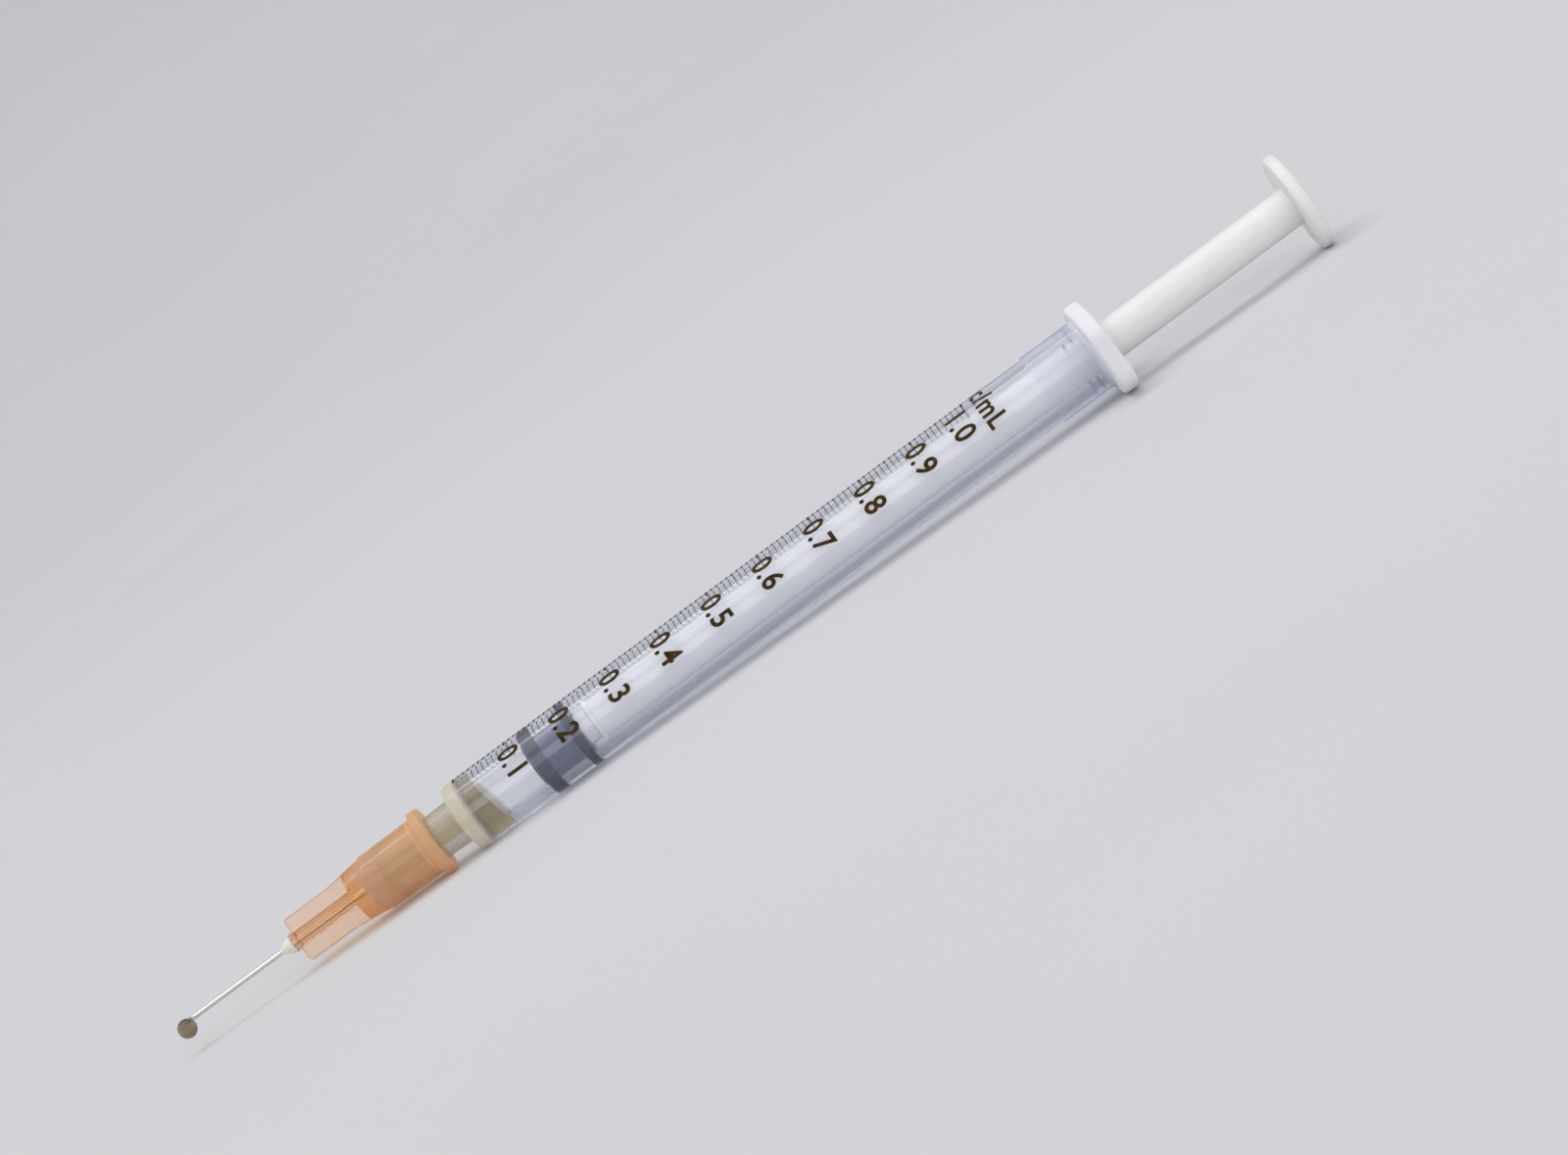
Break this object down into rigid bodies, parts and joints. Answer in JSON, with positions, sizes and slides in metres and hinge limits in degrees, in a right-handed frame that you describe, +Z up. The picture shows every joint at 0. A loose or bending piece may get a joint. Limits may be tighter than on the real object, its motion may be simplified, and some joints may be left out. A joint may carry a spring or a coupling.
{
  "type": "syringe",
  "caption": "Slim clear syringe lying at rest, with a round plunger rod, dark rubber stopper, long finger flange, and a finned hub with a fine bevelled needle and a hanging drop.",
  "frame": {"origin": "centre of the bounding box's base, on the table that the syringe lies on", "axes": "+X from the needle towards the plunger, +Z up, Y along the finger flange; the syringe's own axis rises by 0.94 degrees towards the plunger"},
  "size_m": [0.1268, 0.017, 0.0099],
  "materials": {
    "clear_plastic": "clear, glossy",
    "white_plastic": "satin",
    "dark_rubber": "satin",
    "orange_plastic": "translucent, glossy",
    "needle_steel": "drawn bright",
    "cream_glue": "glossy",
    "olive_liquid": "clear"
  },
  "bodies": {
    "barrel": {"barrel": "clear_plastic", "needle_hub": "orange_plastic", "needle_tube": "needle_steel", "adhesive_bead": "cream_glue", "liquid": "olive_liquid", "droplet": "olive_liquid"},
    "stopper": {"rubber_stopper": "dark_rubber"},
    "rod": {"plunger_rod": "white_plastic"}
  },
  "joints": [
    {"name": "plunger_slide", "type": "slide", "parent": "barrel", "child": "stopper", "axis": [0.9999, 0, 0.0164], "range_m": [-0.00715, 0.055], "deforming": ["liquid"]},
    {"name": "rod_turn", "type": "hinge", "parent": "stopper", "child": "rod", "pos_m": [-0.01897, 0, 0.00361], "axis": [0.9999, 0, 0.0164], "continuous": true}
  ]
}
